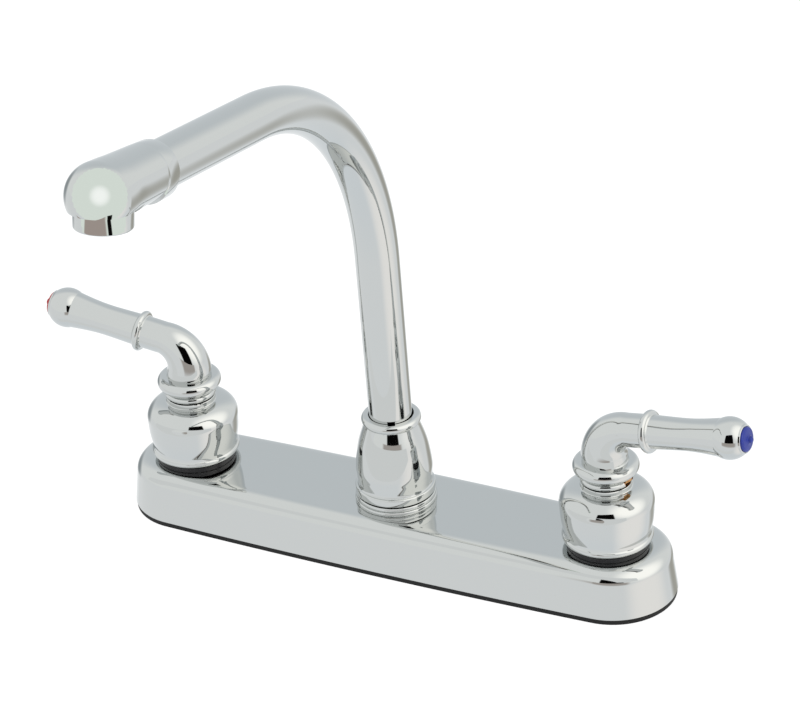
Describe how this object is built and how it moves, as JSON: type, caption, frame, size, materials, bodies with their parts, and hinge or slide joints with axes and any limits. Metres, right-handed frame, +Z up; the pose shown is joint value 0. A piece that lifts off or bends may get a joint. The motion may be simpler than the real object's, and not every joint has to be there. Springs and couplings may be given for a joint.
{
  "type": "two handle kitchen faucet",
  "caption": "Chrome deck-mounted kitchen faucet: high curved swivel spout with aerator, and a lever handle over a bell at each end of a long deck plate.",
  "frame": {"origin": "middle of the deck face, on the underside of the base gasket, below the spout", "axes": "+X along the plate from the hot handle to the cold handle, the spout reaches forward along -Y, +Z up"},
  "size_m": [0.3398, 0.2493, 0.3362],
  "materials": {
    "chrome_plate": "mirror-bright polished chrome plate",
    "brass": "plain machined",
    "steel": "plain stainless",
    "white_plastic": "moulded, off-white",
    "grey_plastic": "moulded, grey",
    "black_plastic": "moulded, near black",
    "black_rubber": "soft, matt black",
    "ceramic": "lapped ceramic",
    "hot_red": "gloss, red",
    "cold_blue": "gloss, blue"
  },
  "bodies": {
    "base": {"deck_cover": "chrome_plate", "base_gasket": "black_rubber", "underbody": "white_plastic", "spout_base_ring": "chrome_plate", "spout_nut": "chrome_plate", "spout_nut_washer": "white_plastic", "hot_inlet_shank": "white_plastic", "hot_mounting_washer": "steel", "hot_mounting_nut": "white_plastic", "hot_seat_spring": "steel", "hot_seat_seal": "black_rubber", "hot_fixed_disc": "ceramic", "hot_cartridge_housing": "grey_plastic", "hot_bonnet_nut": "black_plastic", "cold_inlet_shank": "white_plastic", "cold_mounting_washer": "steel", "cold_mounting_nut": "white_plastic", "cold_seat_spring": "steel", "cold_seat_seal": "black_rubber", "cold_fixed_disc": "ceramic", "cold_cartridge_housing": "grey_plastic", "cold_bonnet_nut": "black_plastic"},
    "spout": {"spout_tube": "chrome_plate", "spout_gland": "brass", "spout_o_ring_lower": "black_rubber", "spout_o_ring_upper": "black_rubber", "spout_end": "chrome_plate", "aerator_housing": "chrome_plate", "aerator_washer": "black_rubber", "aerator_insert": "grey_plastic", "aerator_screen": "steel"},
    "hot_handle": {"hot_moving_disc": "ceramic", "hot_stem": "brass", "hot_stem_o_ring": "black_rubber", "hot_bell": "chrome_plate", "hot_lever": "chrome_plate", "hot_handle_screw": "brass", "hot_index_button": "hot_red"},
    "cold_handle": {"cold_moving_disc": "ceramic", "cold_stem": "brass", "cold_stem_o_ring": "black_rubber", "cold_bell": "chrome_plate", "cold_lever": "chrome_plate", "cold_handle_screw": "brass", "cold_index_button": "cold_blue"}
  },
  "joints": [
    {"name": "spout_swivel", "type": "hinge", "parent": "base", "child": "spout", "pos_m": [0, 0, 0.0395], "axis": [0, 0, 1], "continuous": true},
    {"name": "hot_turn", "type": "hinge", "parent": "base", "child": "hot_handle", "pos_m": [-0.1016, 0, 0.0382], "axis": [0, 0, 1], "range_deg": [0, 90]},
    {"name": "cold_turn", "type": "hinge", "parent": "base", "child": "cold_handle", "pos_m": [0.1016, 0, 0.0382], "axis": [0, 0, 1], "range_deg": [-90, 0]}
  ]
}
